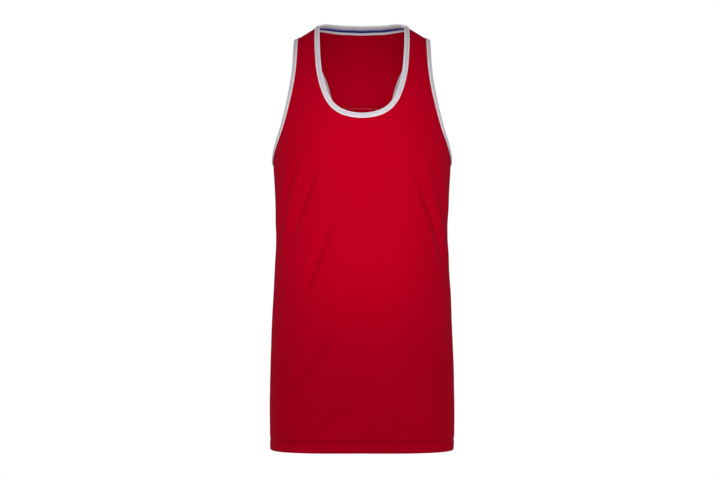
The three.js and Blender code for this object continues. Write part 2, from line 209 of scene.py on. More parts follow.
def sheet_of(node, name, score):
    """One face of a node's solid, as quads. score is the highest at a point of the wanted face."""
    obj = new_object(name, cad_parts[node].data.copy())
    bm = bmesh.new()
    bm.from_mesh(obj.data)
    bmesh.ops.remove_doubles(bm, verts=bm.verts, dist=MERGE)
    short = [edge for edge in bm.edges if edge.calc_length() < LONGEST_WALL_EDGE]
    walls = dict.fromkeys(face for edge in short for face in edge.link_faces)
    bmesh.ops.delete(bm, geom=list(walls), context="FACES")
    kept = island_of(max(bm.verts, key=lambda vert: score(vert.co)))
    bmesh.ops.delete(bm, geom=[v for v in bm.verts if v not in kept], context="VERTS")
    for faces in grids(bm):
        join_quads(bm, faces)
    sides = {len(face.verts) for face in bm.faces}
    bm.normal_update()
    bm.to_mesh(obj.data)
    bm.free()
    activate(obj)
    bpy.ops.mesh.customdata_custom_splitnormals_clear()
    obj.data.materials.clear()
    print(name, len(obj.data.polygons), "faces with", sides, "sides")
    return obj


front = sheet_of("front_panel", "front_cloth", lambda co: -co.z)
back = sheet_of("back_panel", "back_cloth", lambda co: -co.z)
patch = sheet_of("back_patch", "back_patch_cloth", lambda co: -co.y)

# %% [markdown]
# ## The flat cut of each panel
# Cloth is cut flat. Unwrapping a panel's sheet gives that flat shape back, and once it is
# scaled to the sheet's own area its UV map is in metres. The knit then runs along the cut as it
# does on the real vest, and the map's extent is the size of cloth that the panel needs.


# %% Unwrap the panels
def lay_flat(obj):
    """Gives obj a UV map in metres, upright. Returns the cut's width, its length and its area."""
    activate(obj)
    bpy.ops.object.mode_set(mode="EDIT")
    bpy.ops.mesh.select_all(action="SELECT")
    bpy.ops.uv.unwrap(method="MINIMUM_STRETCH", margin=0)
    bpy.ops.object.mode_set(mode="OBJECT")
    mesh = obj.data
    layer = mesh.uv_layers.active
    uv = np.empty(len(mesh.loops) * 2, np.float32)
    layer.data.foreach_get("uv", uv)
    uv = uv.reshape(-1, 2).astype(float)
    corners = np.array([loop.vertex_index for loop in mesh.loops])
    area = sum(face.area for face in mesh.polygons)
    flat_area = 0
    for face in mesh.polygons:
        x, y = uv[face.loop_start : face.loop_start + face.loop_total].T
        flat_area += abs(x @ np.roll(y, -1) - y @ np.roll(x, -1)) / 2
    uv = (uv - uv.mean(0)) * math.sqrt(area / flat_area)
    facing = -np.sign(sum(face.normal.y * face.area for face in mesh.polygons))
    upright = points_of(mesh)[corners][:, [0, 2]] * (facing, 1)
    u, _, v = np.linalg.svd((upright - upright.mean(0)).T @ uv)
    turn = u @ np.diag([1, np.linalg.det(u @ v)]) @ v
    uv = uv @ turn.T
    layer.data.foreach_set("uv", uv.astype(np.float32).ravel())
    width, length = uv.max(0) - uv.min(0)
    return width, length, area


cuts = {obj: lay_flat(obj) for obj in (front, back, patch)}
for obj, (width, length, area) in cuts.items():
    print(obj.name, f"cut {width / MM:.0f} by {length / MM:.0f} mm, {area:.4f} square metres")

# %% [markdown]
# ## The lines that the trims follow
# A binding is one long strip, so it is easier to sweep along a line than to shape from its
# solid. Such a line, a rail, has at each point a direction into the cloth and one out of it.


# %% A rail
class Rail:
    """A line on the cloth's outer face, with directions into the cloth and out of it."""

    def __init__(self, points, into, out, ring):
        self.points, self.ring = points, ring
        self.out = unit(out)
        self.into = unit(into - (into * self.out).sum(1, keepdims=True) * self.out)
        steps = np.linalg.norm(np.roll(points, -1, 0) - points, axis=1)
        self.length = steps.sum() if ring else steps[:-1].sum()
        self.run = np.concatenate([[0], np.cumsum(steps)])[: len(points)]

    def part(self, kept):
        """The open line of this ring's points that are kept, which lie together."""
        first = next(k for k in range(len(kept)) if kept[k] and not kept[k - 1])
        order = [k % len(kept) for k in range(first, first + kept.sum())]
        return Rail(self.points[order], self.into[order], self.out[order], ring=False)

    def at(self, into, out):
        """The line moved this far into the cloth and out of it."""
        return self.points + into * self.into + out * self.out


def smooth_ring(values, steps):
    """A closed Catmull-Rom curve through the values, with this many steps from each to the next."""
    before, after, later = (np.roll(values, shift, 0) for shift in (1, -1, -2))
    t = np.arange(steps)[:, None] / steps
    weights = [-t + 2 * t**2 - t**3, 2 - 5 * t**2 + 3 * t**3, t + 4 * t**2 - 3 * t**3, t**3 - t**2]
    four = (before, values, after, later)
    parts = sum(0.5 * w * v[:, None, :] for w, v in zip(weights, four, strict=True))
    return parts.reshape(-1, values.shape[1])


# %% [markdown]
# The solid's fold, the only strip of it that is as wide as both legs and the cloth together,
# gives the rail: each rung across it marks a station on the cloth's edge. The rungs are put in
# order round the ring, and a smooth curve through the stations gives a point about every two
# millimetres.

# %% Rails round the bindings
CLOTH = 1 * MM  # thickness of the panels in the frame
FOLD_WIDTH = 3.6 * MM  # of a binding in the frame, over both of its legs
FOLD_GIVES = 0.02  # share by which a rung may differ from that
INSIDE = Vector((0, 0, -0.3))  # a point in the hollow, for telling inside from outside
RAIL_STEPS = 7  # from one station to the next, each about 2 mm


def ring_rail(node, steps):
    """The edge of the cloth that a binding is folded over."""
    bm = bmesh.new()
    bm.from_mesh(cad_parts[node].data)
    bmesh.ops.remove_doubles(bm, verts=bm.verts, dist=MERGE)
    rungs = []
    for edge in bm.edges:
        if abs(edge.calc_length() - FOLD_WIDTH) < FOLD_GIVES * FOLD_WIDTH:
            rungs.append(sorted(edge.verts, key=lambda v: -(v.co - INSIDE).length))
    place = {outer: k for k, (outer, _) in enumerate(rungs)}
    joined = {frozenset(edge.verts) for edge in bm.edges}
    order, here = [], 0
    while here is not None:
        order.append(here)
        outer, inner = rungs[here]
        near = (place.get(edge.other_vert(outer)) for edge in outer.link_edges)
        here = next(
            (
                k
                for k in near
                if k is not None and k not in order and frozenset((inner, rungs[k][1])) in joined
            ),
            None,
        )
    outer = np.array([rungs[k][0].co for k in order])
    inner = np.array([rungs[k][1].co for k in order])
    round_about = [[e.other_vert(rungs[k][0]).co for e in rungs[k][0].link_edges] for k in order]
    legs = np.array([np.mean(places, 0) for places in round_about])
    bm.free()
    out = unit(outer - inner)
    into = np.cross(np.roll(outer, -1, 0) - np.roll(outer, 1, 0), out)
    into = unit(into * np.sign(((legs - outer) * into).sum(1, keepdims=True)))
    margin = (FOLD_WIDTH - CLOTH) / 2
    stations = outer + margin * into - margin * out
    print(node, len(order), "stations of", len(rungs))
    return Rail(*(smooth_ring(v, steps) for v in (stations, into, out)), ring=True)


rails = {
    "neck": ring_rail("neck_binding", RAIL_STEPS),
    "left_armhole": ring_rail("left_armhole_binding", RAIL_STEPS),
    "right_armhole": ring_rail("right_armhole_binding", RAIL_STEPS),
}
for name, rail in rails.items():
    print(name, f"{rail.length / MM:.0f} mm round")

# %% [markdown]
# ## Smoothing the sheets
# A subdivision surface rounds a cage off and leaves its points, so it would draw the cloth in
# by half a millimetre and away from its bindings. A few rounds of moving each cage point by
# what the surface misses it by make the smooth surface pass through every point of the frame's
# form.

# %% Smooth through the points
SMOOTH_LEVELS = 2
FIT_ROUNDS = 4
FITTED_FROM = (HEM + 8 * MM, HEM + 25 * MM)  # below, the hem's tight fold would overshoot
AT_FOLD = HEM + 0.1 * MM  # points below this are on the fold
FOLD_DROP = 2 * MM  # and the fold is only lowered, to reach down to the hem


def smooth_through(obj):
    mesh = obj.data
    goal = points_of(mesh)
    cage = goal.copy()
    smooth = obj.modifiers.new("smooth", "SUBSURF")
    smooth.levels = smooth.render_levels = SMOOTH_LEVELS
    smooth.boundary_smooth = "PRESERVE_CORNERS"
    held = smoothstep(goal[:, 2], *FITTED_FROM)[:, None]
    cage[goal[:, 2] < AT_FOLD, 2] -= FOLD_DROP
    for _ in range(FIT_ROUNDS):
        evaluated = obj.evaluated_get(bpy.context.evaluated_depsgraph_get())
        cage += held * (goal - points_of(evaluated.data)[: len(goal)])
        move_points(mesh, cage)
    activate(obj)
    bpy.ops.object.modifier_apply(modifier=smooth.name)
    missed = held[:, 0] * np.linalg.norm(goal - points_of(mesh)[: len(goal)], axis=1)
    print(obj.name, len(mesh.vertices), "points, missed by", f"{missed.max() / MM:.3f} mm")


for obj in (front, back, patch):
    smooth_through(obj)

# %% [markdown]
# Where the body's long quads meet the straps' short ones, the smooth surface keeps a slight
# ripple across the chest, as if the cloth had been badly ironed. It is evened out by moving
# each point there towards its neighbours, many times, a little each time.

# %% Ironing
IRONED_LINE = (HEM + 622 * MM, 0.43)  # its height in the middle, and its fall towards the sides
IRONED_BAND = 16 * MM
IRON_ROUNDS = 24


def iron(obj):
    """Evens out the ripple where the body's long quads meet the straps' short ones."""
    mesh = obj.data
    points = points_of(mesh)
    ends = np.array([edge.vertices[:] for edge in mesh.edges])
    counts = np.bincount(ends.ravel(), minlength=len(points))[:, None]
    middle, fall = IRONED_LINE
    beside = (points[:, 2] - middle + fall * abs(points[:, 0])) / IRONED_BAND
    weight = np.exp(-(beside**2))
    bm = bmesh.new()
    bm.from_mesh(mesh)
    weight[[v.index for v in bm.verts if v.is_boundary]] = 0
    bm.free()
    for _ in range(IRON_ROUNDS):
        around = np.zeros_like(points)
        np.add.at(around, ends[:, 0], points[ends[:, 1]])
        np.add.at(around, ends[:, 1], points[ends[:, 0]])
        points += weight[:, None] * (around / counts - points) / 2
    moved = np.linalg.norm(points - points_of(mesh), axis=1).max()
    move_points(mesh, points)
    print(obj.name, "ironed by", f"{moved / MM:.2f} mm at most")


iron(front)

# %% [markdown]
# ## Creases
# The knit is thin and slippery, so it hangs in soft creases rather than sharp folds. They start
# where the cloth is held, under the arms and at the chest, and run down and outwards to the
# sides. Each one is placed along a curved line, some long, some short, none alike. One
# with a lean of 1 is a step, where the cloth nearer the middle stands over the cloth beside it.
# One with a lean of 0 is a trough between two low folds, and one with a negative depth is a low
# fold itself. Places are in millimetres, x from the middle and height from the hem.


# %% Crease tables
def crease(depth, width, lean, *line):
    return dict(depth=depth, width=width, lean=lean, line=line)


FRONT_CREASES = [
    # from the right armhole down to the side
    crease(4.2, 4.6, 0.2, (-114, 564), (-133, 505), (-146, 455), (-155, 405), (-161, 344)),
    crease(
        3.4, 4, 0.2, (-76, 560), (-88, 514), (-101, 474), (-111, 446), (-128, 393), (-141, 340)
    ),
    crease(2.4, 3.4, 0.2, (-86, 530), (-104, 478), (-126, 425), (-146, 366)),
    crease(4.8, 6, 0.2, (-48, 456), (-69, 396), (-84, 356), (-95, 326), (-110, 276)),
    crease(0.9, 3, 0, (-12, 494), (-22, 474), (-44, 440), (-66, 405)),
    crease(-2.2, 7, 0, (-50, 574), (-85, 577), (-112, 579), (-146, 580)),
    crease(1.4, 5, 0, (-96, 562), (-116, 560), (-136, 562), (-152, 566)),
    # from the left armhole
    crease(4, 4.6, 0.2, (118, 564), (138, 510), (150, 468), (158, 418), (162, 356)),
    crease(5.6, 6, 0.2, (96, 530), (114, 476), (130, 434), (145, 385), (156, 346), (167, 290)),
    crease(0.8, 2.8, 0, (90, 470), (91, 428), (89, 380)),
    crease(0.4, 2.8, 0, (97, 350), (97, 310), (92, 262)),
    crease(-2.2, 7, 0, (80, 577), (112, 579), (150, 582)),
    crease(1.6, 5, 0, (100, 562), (122, 558), (150, 566)),
    # across the stomach
    crease(6.6, 9.5, 0.15, (-48, 226), (-80, 190), (-102, 164), (-136, 122)),
    crease(5.4, 14, 0, (-36, 128), (-70, 104), (-100, 82), (-150, 52)),
    crease(5, 13, 0, (-10, 84), (-44, 60), (-84, 36), (-128, 16)),
    crease(0.5, 5, 0, (-66, 238), (0, 231), (52, 229)),
    crease(4, 10, 0, (34, 92), (56, 56), (78, 32), (108, 12)),
    crease(-2.2, 10, 0, (122, 190), (126, 110), (128, 30)),
]
BACK_CREASES = [
    # from the armholes
    crease(1.7, 5, 1, (-74, 566), (-98, 520), (-124, 452), (-148, 392)),
    crease(1.9, 5, 1, (70, 570), (92, 516), (120, 456), (150, 378)),
    crease(1.3, 5, 1, (-40, 540), (-62, 470), (-92, 402), (-118, 318)),
    crease(1.2, 6, 1, (30, 520), (50, 452), (84, 372), (122, 300)),
    # down the back
    crease(1.6, 10, 0, (-10, 430), (-34, 352), (-70, 268)),
    crease(1.0, 4, 1, (96, 420), (124, 350), (154, 296)),
    crease(1.0, 5, 1, (-118, 300), (-138, 232), (-152, 160)),
    crease(2.0, 9, 0, (64, 268), (98, 190), (124, 104)),
    crease(1.6, 9, 0, (-34, 214), (-62, 140), (-104, 78)),
    crease(1.0, 10, 0, (10, 160), (26, 96), (58, 36)),
    crease(0.9, 6, 1, (140, 230), (150, 150), (146, 60)),
    # between the armholes
    crease(0.8, 6, 1, (-46, 668), (-52, 622), (-70, 584)),
    crease(0.8, 6, 1, (44, 690), (48, 640), (66, 596)),
]
print(len(FRONT_CREASES), "creases on the front,", len(BACK_CREASES), "on the back")

# %% [markdown]
# A crease's depth at a point depends on how far the point is from its line, measured in the
# crease's own widths, and on how far along the line it is, because a crease grows out of smooth
# cloth and fades into it again.

# %% Depth of a crease
CREASE_PARTS = 24  # straight steps that stand for the curved line
GROWS, FADES = (0, 0.3), (0.65, 1)  # shares of its length
# of a trough: place and width in its widths, height as a share of its depth
FOLDS_BESIDE = dict(place=2.3, width=0.9, height=0.3)
STEP = dict(sharpness=1.5, reach=4)  # the reach, in widths, is where the cloth is level again


def bent_line(corners):
    """Points along a smooth curve that starts at the first corner and ends at the last."""
    ends = np.array([corners[0], *corners, corners[-1]], float)
    t = np.linspace(0, len(corners) - 1, CREASE_PARTS + 1)
    first = np.minimum(t.astype(int), len(corners) - 2)
    t = (t - first)[:, None]
    a, b, c, d = (ends[first + k] for k in range(4))
    cubic = 2 * b + (c - a) * t + (2 * a - 5 * b + 4 * c - d) * t**2
    return (cubic + (3 * b - a - 3 * c + d) * t**3) / 2


def crease_depth(places, creases):
    """How far the cloth lies below its smooth form at each place, in millimetres."""
    depth = np.zeros(len(places))
    for one in creases:
        line = bent_line(one["line"])
        steps = line[1:] - line[:-1]
        from_start = places[:, None, :] - line[None, :-1, :]
        share = np.clip((from_start * steps).sum(2) / (steps**2).sum(1), 0, 1)
        off = from_start - share[..., None] * steps
        nearest = (off**2).sum(2).argmin(1)
        rows = np.arange(len(places))
        off, step = off[rows, nearest], steps[nearest]
        side = np.sign(step[:, 0] * off[:, 1] - step[:, 1] * off[:, 0])
        beside = side * np.linalg.norm(off, axis=1) / one["width"]
        along = (nearest + share[rows, nearest]) / CREASE_PARTS
        grown = smoothstep(along, *GROWS) * (1 - smoothstep(along, *FADES))
        folds = np.exp(-(((abs(beside) - FOLDS_BESIDE["place"]) / FOLDS_BESIDE["width"]) ** 2))
        trough = np.exp(-(beside**2)) - FOLDS_BESIDE["height"] * folds
        outer = beside * np.sign(one["line"][-1][0])
        step_down = np.tanh(STEP["sharpness"] * outer) * np.exp(-((beside / STEP["reach"]) ** 2))
        lean = one["lean"]
        depth += one["depth"] * grown * (lean * step_down + (1 - abs(lean)) * trough)
    return depth


on_the_first = np.array([(-146, 455)])
print("the first crease is", f"{crease_depth(on_the_first, FRONT_CREASES[:1])[0]:.1f} mm deep")

# %% [markdown]
# ## Waves and hollows
# Between the creases the cloth is never quite even. A slow noise lifts and lowers it by under a
# millimetre, and the stomach falls back a little towards the hem. All of this is one depth
# below the smooth form, worked out from a point's place alone. A front point and a back point
# on a seam get the same depth, so the seam stays closed.

# %% Depth of the cloth
SLOW_WAVE = dict(size=85 * MM, height=0.9 * MM)
QUICK_WAVE = dict(size=30 * MM, height=0.22 * MM)
STOMACH_HOLLOW = dict(depth=5 * MM, half_width=75, rise=(0, 330))  # the last two in mm
HELD_FLAT = (9 * MM, 34 * MM)  # from a binding's fold: where creases start and are full
SEAM_BLEND = 14 * MM  # from a seam, where one panel's creases give way to the other's
AT_ONCE = 2000  # points whose distances are worked out together, to spare memory

edge_points = np.concatenate([rail.points for rail in rails.values()])


def distance_to(points, targets):
    return np.concatenate(
        [
            np.linalg.norm(some[:, None, :] - targets[None], axis=2).min(1)
            for some in np.array_split(points, 1 + len(points) // AT_ONCE)
        ]
    )


def shape_depth(points):
    """How far below its smooth form the cloth lies at each point."""
    heights = (points[:, 2] - HEM) / MM
    across = points[:, 0] / MM
    places = np.c_[across, heights]
    backness = smoothstep(points[:, 1], -SEAM_BLEND, SEAM_BLEND)
    fall = 1 - smoothstep(heights, *STOMACH_HOLLOW["rise"])
    middle = np.exp(-((across / STOMACH_HOLLOW["half_width"]) ** 2))
    depth = (1 - backness) * (
        MM * crease_depth(places, FRONT_CREASES) + STOMACH_HOLLOW["depth"] * fall * middle
    ) + backness * MM * crease_depth(places, BACK_CREASES)
    for wave in (SLOW_WAVE, QUICK_WAVE):
        depth += [wave["height"] * noise.noise(Vector(p) / wave["size"]) for p in points]
    return depth * smoothstep(distance_to(points, edge_points), *HELD_FLAT)


print("the front's deepest place is", f"{shape_depth(points_of(front.data)).max() / MM:.1f} mm")

# %% [markdown]
# ## Dividing the cloth finely
# A crease is a few millimetres wide, so it needs points closer together than that. Only the
# long edges and the edges inside creases are divided, which keeps the mesh small. Rows of
# points are also cut along the hem, where its two rows of stitches will pull a groove.

# %% Finer mesh
LONG_EDGE = 7.5 * MM
CREASED = 0.03  # mm of depth, over which the cloth is divided finely
CREASE_EDGE = 2.6 * MM
HEM_GROOVE = dict(height=19.9 * MM, depth=3.9 * MM, width=3.2 * MM)
HEM_ROWS = [HEM_GROOVE["height"] + step * MM for step in (-3.6, -2.4, -1.2, 0, 1.2, 2.4, 3.6)]


def divide(obj, creases):
    bm = bmesh.new()
    bm.from_mesh(obj.data)
    long_edges = [e for e in bm.edges if e.calc_length() > LONG_EDGE]
    bmesh.ops.subdivide_edges(bm, edges=long_edges, cuts=1, use_grid_fill=True)
    flat = np.array([(v.co.x / MM, (v.co.z - HEM) / MM) for v in bm.verts])
    creased = abs(crease_depth(flat, creases)) > CREASED
    bm.verts.index_update()
    fine = [
        e
        for e in bm.edges
        if e.calc_length() > CREASE_EDGE and all(creased[v.index] for v in e.verts)
    ]
    bmesh.ops.subdivide_edges(bm, edges=fine, cuts=1, use_grid_fill=True)
    for height in HEM_ROWS:
        geom = bm.verts[:] + bm.edges[:] + bm.faces[:]
        bmesh.ops.bisect_plane(
            bm, geom=geom, dist=MERGE, plane_co=(0, 0, HEM + height), plane_no=(0, 0, 1)
        )
    bm.to_mesh(obj.data)
    bm.free()
    print(obj.name, "divided into", len(obj.data.polygons), "faces")


divide(front, FRONT_CREASES)
divide(back, BACK_CREASES)

# %% [markdown]
# ## Moving the cloth
# Each point now moves inwards by its depth. The cloth's normals give the direction, apart from
# the hem, where they turn round the fold. There the whole hem moves as one, out from or in to
# an oval. The side seams pull the cloth in to a soft valley, the stitches pull the hem in to a
# groove, and below it the hem is a little fuller, because its seam allowance is inside.

# %% Creases and hem
OVAL = (175 * MM, 117 * MM)  # half the vest's width and depth at the hem
OVAL_GIVES_WAY = (HEM + 25 * MM, HEM + 45 * MM)  # to the cloth's own normals
SIDE_VALLEY = dict(depth=0.8 * MM, width=5 * MM)
SIDE_TOP = (HEM + 535 * MM, HEM + 575 * MM)  # where the side seams give way to the armholes
HEM_BAND = dict(height=8.5 * MM, depth=2.0 * MM, width=7 * MM)  # the fuller strip
GROOVE_AT_SIDE = 0.25  # share of the groove's depth that is left where the hem turns away
HEM_HANGS = 1.9 * MM  # how far the hem is drawn down by its own weight
HANG_FADES = (25 * MM, 90 * MM)  # heights over which the cloth above gives way to it
SEAM_PLANE = 3 * CLOTH  # nearer to a seam than this, points are drawn onto its own plane


def outwards(mesh):
    """Directions out of the vest: the cloth's normals, and an oval's at the hem."""
    points = points_of(mesh)
    oval = unit(points / (OVAL[0] ** 2, OVAL[1] ** 2, 1) * (1, 1, 0))
    above = smoothstep(points[:, 2], *OVAL_GIVES_WAY)[:, None]
    return unit(oval * (1 - above) + normals_of(mesh) * above)


def near_height(points, band):
    """1 at the band's height, falling to 0 above and below it."""
    return np.exp(-(((points[:, 2] - HEM - band["height"]) / band["width"]) ** 2))


def press(obj):
    """Creases a panel, and grooves it along the hem's stitches."""
    mesh = obj.data
    points = points_of(mesh)
    normals, out = normals_of(mesh), outwards(mesh)
    from_seam = abs(points[:, 1])
    at_side = (1 - smoothstep(points[:, 2], *SIDE_TOP)) * np.exp(
        -((from_seam / SIDE_VALLEY["width"]) ** 2)
    )
    sideways = np.sign(points[:, :1]) * (1, 0, 0)
    out = unit(out * (1 - at_side[:, None]) + sideways * at_side[:, None])
    depth = shape_depth(points) + SIDE_VALLEY["depth"] * at_side
    outer_ply = (normals * out).sum(1) > 0
    facing = out[:, 1] ** 2
    groove = GROOVE_AT_SIDE + (1 - GROOVE_AT_SIDE) * facing
    depth += HEM_GROOVE["depth"] * near_height(points, HEM_GROOVE) * groove
    depth -= HEM_BAND["depth"] * near_height(points, HEM_BAND) * outer_ply * facing
    points -= out * depth[:, None]
    points[:, 2] -= HEM_HANGS * (1 - smoothstep(points[:, 2] - HEM, *HANG_FADES))
    points[:, 1] *= 1 - np.exp(-((from_seam / SEAM_PLANE) ** 2))
    move_points(mesh, points)
    print(obj.name, "creased, to", f"{depth.max() / MM:.1f} mm deep")


press(front)
press(back)

# %% [markdown]
# ## Seam allowances
# At the shoulders and down the sides the two panels meet edge to edge. On a real vest each is
# folded back inside by a seam allowance, and the fold is what shows as a seam. The panels'
# edges are extruded inwards to make it. Close to a binding the allowance is trimmed short, so
# that it stays hidden.

# %% Seam allowances
SEAM_ALLOWANCE = 5 * MM
SEAM_GAP = 0.4 * MM
TRIMMED_SHORT = (8 * MM, 18 * MM)  # distances from a binding's fold over which it narrows
SHORTEST = 0.1  # share of the allowance that is left at the binding
HEM_STITCHES = (18.7 * MM, 21.1 * MM)  # heights of the hem's two rows of stitches


def on_line(edges, test):
    return [e for e in edges if e.is_boundary and all(test(vert.co) for vert in e.verts)]


def fold_allowances(obj, side):
    """Folds the panel's seam allowances inwards. side is -1 for the front and 1 for the back."""
    bm = bmesh.new()
    bm.from_mesh(obj.data)
    hem_top = HEM + HEM_STITCHES[-1]
    sides = on_line(bm.edges, lambda co: abs(co.y) < CLOTH / 2 and hem_top < co.z < SIDE_TOP[0])
    shoulders = on_line(bm.edges, lambda co: abs(co.y) < CLOTH / 2 and co.z > SIDE_TOP[1])
    for seam in (sides, shoulders):
        made = bmesh.ops.extrude_edge_only(bm, edges=seam)["geom"]
        for vert in (v for v in made if isinstance(v, bmesh.types.BMVert)):
            inwards = Vector((-math.copysign(1, vert.co.x), 0, 0)) if seam is sides else None
            inwards = inwards or (INSIDE - vert.co).normalized()
            clear = smoothstep(distance_to(np.array([vert.co]), edge_points)[0], *TRIMMED_SHORT)
            allowance = float(SEAM_ALLOWANCE * (SHORTEST + (1 - SHORTEST) * clear))
            vert.co += allowance * inwards + Vector((0, side * SEAM_GAP, 0))
    bm.to_mesh(obj.data)
    bm.free()
    print(obj.name, len(sides), "side edges and", len(shoulders), "shoulder edges folded in")


fold_allowances(front, -1)
fold_allowances(back, 1)

# %% [markdown]
# The patch is sewn to the back panel, so it moves by as much as the panel did under it. The tape,
# which is made later, will do the same.


# %% What is sewn on follows
def follow_creases(obj):
    """Moves a piece that is sewn to a panel by as much as the panel was moved."""
    points = points_of(obj.data)
    out = unit(points - np.array(INSIDE))
    depth = shape_depth(points)
    move_points(obj.data, points - out * depth[:, None])
    print(obj.name, "follows by", f"{abs(depth).max() / MM:.1f} mm at most")


follow_creases(patch)

# %% [markdown]
# ## Thickness and the cloth's own bulk
# Solidify gives the panels the thickness of the knit, inwards, so that the face made so far
# stays where it is. The patch was taken from its inner face, so it grows the other way, towards
# the panel.

# %% Thickness
KNIT_THICK, PATCH_THICK = 0.9 * MM, 0.6 * MM


def thicken(obj, thickness):
    """Gives obj a thickness behind its faces, and smooth shading."""
    solid = obj.modifiers.new("thickness", "SOLIDIFY")
    solid.thickness, solid.offset = thickness, -1
    activate(obj)
    bpy.ops.object.modifier_apply(modifier=solid.name)
    bpy.ops.object.shade_smooth()
    print(obj.name, len(obj.data.polygons), "faces")


thicken(front, KNIT_THICK)
thicken(back, KNIT_THICK)
thicken(patch, PATCH_THICK)

# %% [markdown]
# ## Bindings
# Each binding is a ribbed strip about 23 mm wide, folded over the raw edge, with both legs
# stitched through. Its section is a hairpin: plump legs, a dent where the stitches pull, and a
# round fold that the cloth fills. The section is swept along the rail, and its UV map is in
# metres too, u along the strip and v across it, so that the ribs and the paler edges follow the
# strip.


# %% Sweep a section along a rail
def face_outwards(obj):
    bm = bmesh.new()
    bm.from_mesh(obj.data)
    bmesh.ops.recalc_face_normals(bm, faces=bm.faces)
    bm.to_mesh(obj.data)
    bm.free()


def sweep(name, rail, section):
    """A closed section swept along a rail. Its UV map has u along the rail and v round it."""
    section = np.array(section) * MM
    steps = np.linalg.norm(np.roll(section, -1, 0) - section, axis=1)
    across = np.concatenate([[0], np.cumsum(steps)])
    around = np.append(rail.run, rail.length)
    rings = np.array([rail.at(into, out) for into, out in section])
    count, stations = rings.shape[:2]
    verts = rings.transpose(1, 0, 2).reshape(-1, 3)
    faces, uv = [], []
    for k in range(stations if rail.ring else stations - 1):
        for j in range(count):
            corners = [(k, j), (k, j + 1), (k + 1, j + 1), (k + 1, j)]
            faces.append([(a % stations) * count + b % count for a, b in corners])
            uv += [(around[a], across[b]) for a, b in corners]
    for k in () if rail.ring else (0, stations - 1):
        faces.append([k * count + j for j in range(count)])
        uv += [(around[k], across[j]) for j in range(count)]
    mesh = bpy.data.meshes.new(name)
    mesh.from_pydata(verts.tolist(), [], faces)
    layer = mesh.uv_layers.new(name="UVMap")
    layer.data.foreach_set("uv", np.array(uv, np.float32).ravel())
    obj = new_object(name, mesh)
    face_outwards(obj)
    activate(obj)
    bpy.ops.object.shade_smooth()
    print(name, len(faces), "faces,", f"{across[-1] / MM:.1f} mm round its section")
    return obj


# %% Bindings
# Each point of the section: how far into the cloth it lies from the fold, and how far out of it.
HAIRPIN = [
    # the outer leg, from its edge to the fold
    (8.55, 0.70), (8.50, 1.05), (8.10, 1.36), (7.40, 1.42), (6.90, 1.14), (6.60, 1.05),
    (6.30, 1.14), (5.70, 1.46), (4.60, 1.66), (3.00, 1.74), (1.40, 1.62), (0.10, 1.28),
    # round the fold
    (-0.80, 0.66), (-1.20, -0.10), (-1.22, -0.90), (-0.84, -1.66), (0.00, -2.22),
    # the inner leg, back to its edge
    (1.40, -2.52), (3.20, -2.62), (4.80, -2.54), (5.80, -2.36), (6.30, -2.14), (6.60, -2.06),
    (6.90, -2.14), (7.40, -2.36), (8.10, -2.34), (8.50, -2.05), (8.55, -1.75),
    # the hollow that the cloth fills
    (8.20, -1.60), (5.00, -1.60), (1.40, -1.58), (0.00, -1.40), (-0.50, -0.95), (-0.60, -0.50),
    (-0.50, -0.05), (0.00, 0.40), (1.40, 0.58), (5.00, 0.60), (8.20, 0.60),
]  # fmt: skip

trims = {place: sweep(place + "_trim", rail, HAIRPIN) for place, rail in rails.items()}

# %% [markdown]
# ## The striped tape inside the back neck
# A woven tape, 12 mm wide, hides the seam where it would rub the neck. It runs from shoulder to
# shoulder along the same rail as the binding, just past the binding's inner leg, and lies on
# the panel's inside. It is swept as the bindings are, and its stripes follow the v of its UV
# map.

# %% Neck tape
TAPE_STARTS = 7.0  # mm into the cloth, from the binding's fold
TAPE_WIDTH = 12.0
TAPE_SECTION = [
    (0.0, -2.25), (0.1, -2.50), (0.5, -2.58), (0.9, -2.50), (1.3, -2.46), (1.7, -2.52),
    (2.6, -2.62), (6.0, -2.66), (9.4, -2.62), (10.3, -2.52), (10.7, -2.46), (11.1, -2.50),
    (11.5, -2.58), (11.9, -2.50), (12.0, -2.25), (11.9, -2.02), (11.4, -1.95), (6.0, -1.92),
    (0.6, -1.95), (0.1, -2.02),
]  # fmt: skip
BACK_STARTS = 2 * MM  # behind the plane of the shoulder seams

back_neck = rails["neck"].part(rails["neck"].points[:, 1] > BACK_STARTS)
tape = sweep(
    "neck_tape_cloth",
    back_neck,
    [(TAPE_STARTS + into, out) for into, out in TAPE_SECTION],
)
follow_creases(tape)

# %% [markdown]
# ## Stitches
# Stitches are what makes a seam look sewn: the bindings are topstitched close to their inner
# edge, the hem has the two rows of a twin needle, and the tape and the patch are stitched along
# their edges. One stitch is modelled, a short thread that dives into the cloth at both ends,
# and it is copied along each row. A row is one piece, so a stitch has only a few dozen faces.

# %% One stitch
STITCH_DIVES = 0.9  # how far its ends dive, in its own half thickness

bpy.ops.object.select_all(action="DESELECT")
bpy.ops.mesh.primitive_uv_sphere_add(segments=6, ring_count=5, radius=1)
model = bpy.context.object
model.name = "stitch_model"
bpy.ops.object.mode_set(mode="EDIT")
bpy.ops.mesh.select_all(action="SELECT")
bpy.ops.transform.rotate(value=math.radians(90), orient_axis="Y", center_override=(0, 0, 0))
bpy.ops.object.mode_set(mode="OBJECT")
stitch_points = points_of(model.data)
stitch_points[:, 2] -= STITCH_DIVES * stitch_points[:, 0] ** 4
stitch_faces = np.array([[*f.vertices, f.vertices[-1]][:4] for f in model.data.polygons])
bpy.data.objects.remove(model)
print("a stitch has", len(stitch_faces), "faces")

# %% [markdown]
# A row starts from lines of points on the cloth. The stitches are spread evenly along each
# line, so that they fill it from end to end, and every stitch is turned along the line, with
# its ends towards the cloth.

# %% A row of stitches
EITHER_SIDE = 0.1  # of the pitch, over which a stitch's direction is taken


